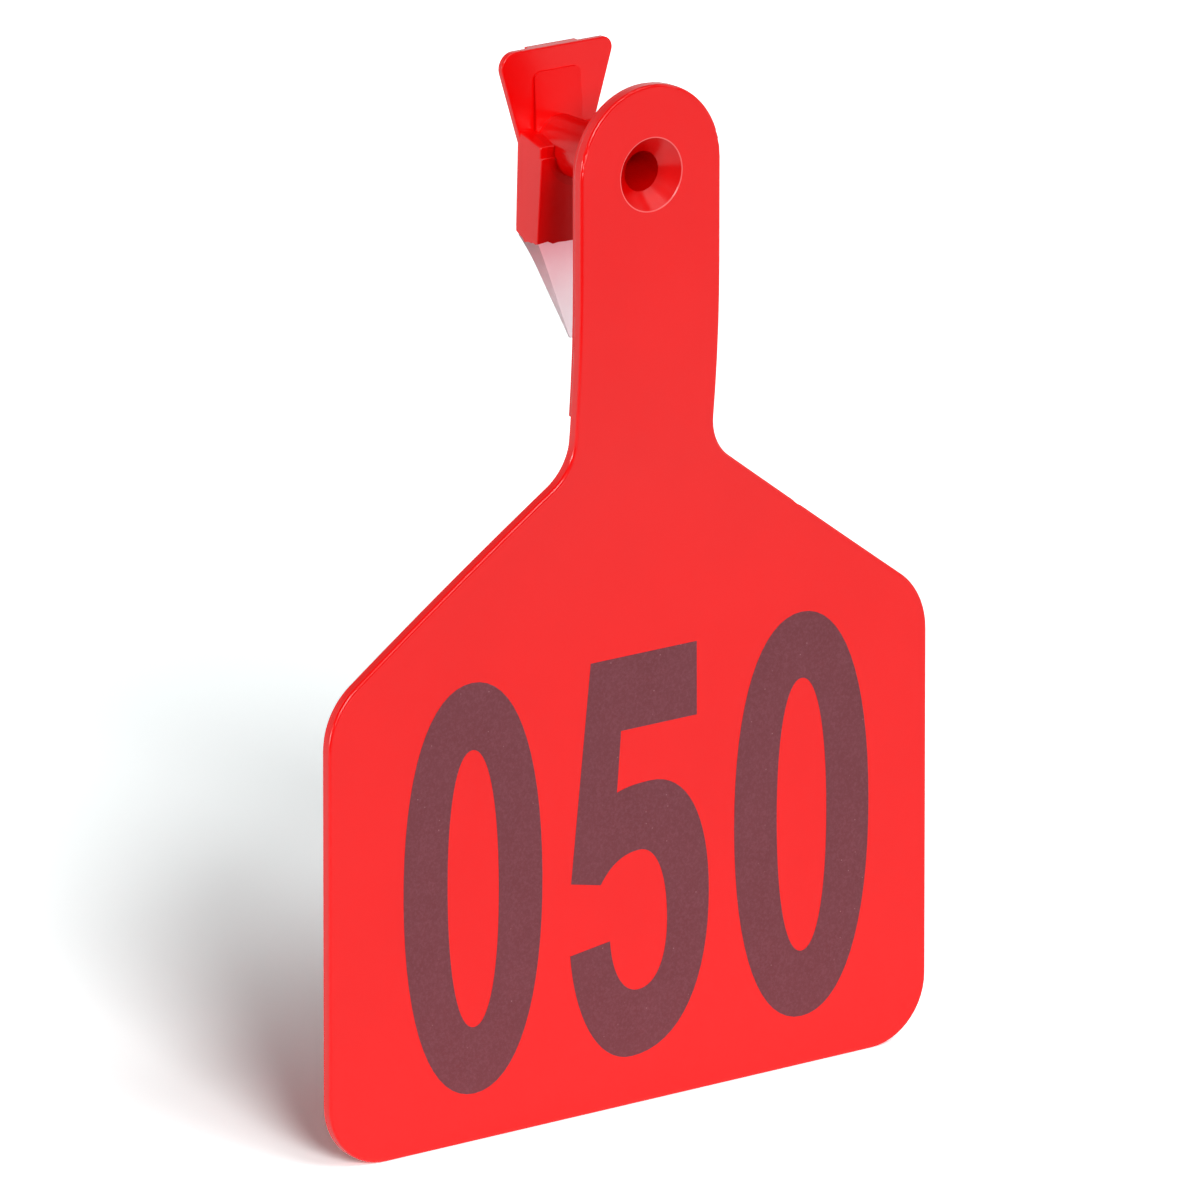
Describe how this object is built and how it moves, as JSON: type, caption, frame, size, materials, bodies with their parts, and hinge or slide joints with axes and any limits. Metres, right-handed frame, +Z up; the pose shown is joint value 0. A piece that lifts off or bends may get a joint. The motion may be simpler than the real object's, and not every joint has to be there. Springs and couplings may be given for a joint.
{
  "type": "livestock ear tag",
  "caption": "Flexible livestock ear tag with a wide panel, a narrow neck with a countersunk hole, and a hollow stem whose winged head carries a hard piercing tip.",
  "frame": {"origin": "on the stem's axis, at the neck's back face, where the ear lies against it", "axes": "+Z up the neck from the hanging panel; -Y out of the printed front face and the pin bore's mouth; X across the tag"},
  "size_m": [0.0762, 0.0177, 0.1103],
  "materials": {
    "tag": "satin moulded, flexible",
    "tip": "smooth, translucent"
  },
  "bodies": {
    "root": {"tag_moulding": "tag", "piercing_tip": "tip"}
  },
  "joints": []
}
